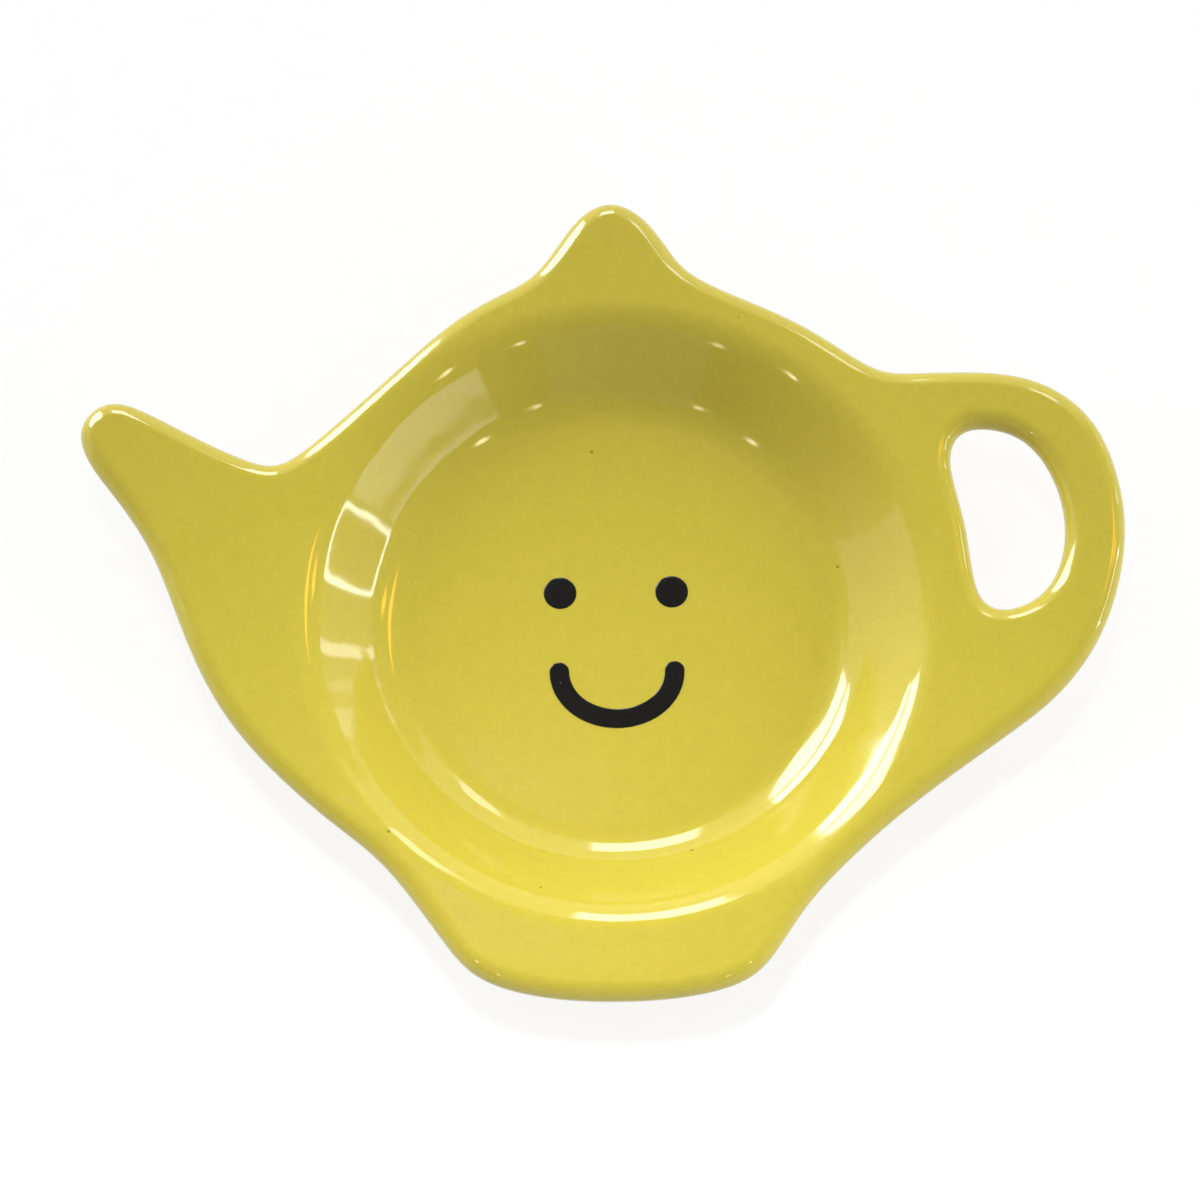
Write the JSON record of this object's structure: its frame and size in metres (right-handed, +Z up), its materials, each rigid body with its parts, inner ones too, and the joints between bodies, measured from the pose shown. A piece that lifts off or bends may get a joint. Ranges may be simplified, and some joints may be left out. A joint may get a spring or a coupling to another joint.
{
  "type": "tea bag rest",
  "caption": "Glazed earthenware tea bag rest: a flat rim in the outline of a teapot round a shallow round well, on a bare foot ring.",
  "frame": {"origin": "on the table, on the axis of the round well, at the middle of the foot ring's flat lower face", "axes": "+Z up along the well's axis, +X towards the handle, +Y towards the lid's knob, so that -X is the spout"},
  "size_m": [0.1266, 0.0993, 0.0148],
  "materials": {
    "biscuit_clay": "matt biscuit-fired earthenware",
    "bare_foot": "bare fired clay, rubbed smooth",
    "yellow_glaze": "glossy yellow glaze",
    "black_print": "glossy black print fired on the glaze"
  },
  "bodies": {
    "root": {"clay_body": "biscuit_clay", "foot_ring": "bare_foot", "glaze_coat": "yellow_glaze", "foot_recess_glaze": "yellow_glaze", "left_eye": "black_print", "right_eye": "black_print", "smile": "black_print"}
  },
  "joints": []
}
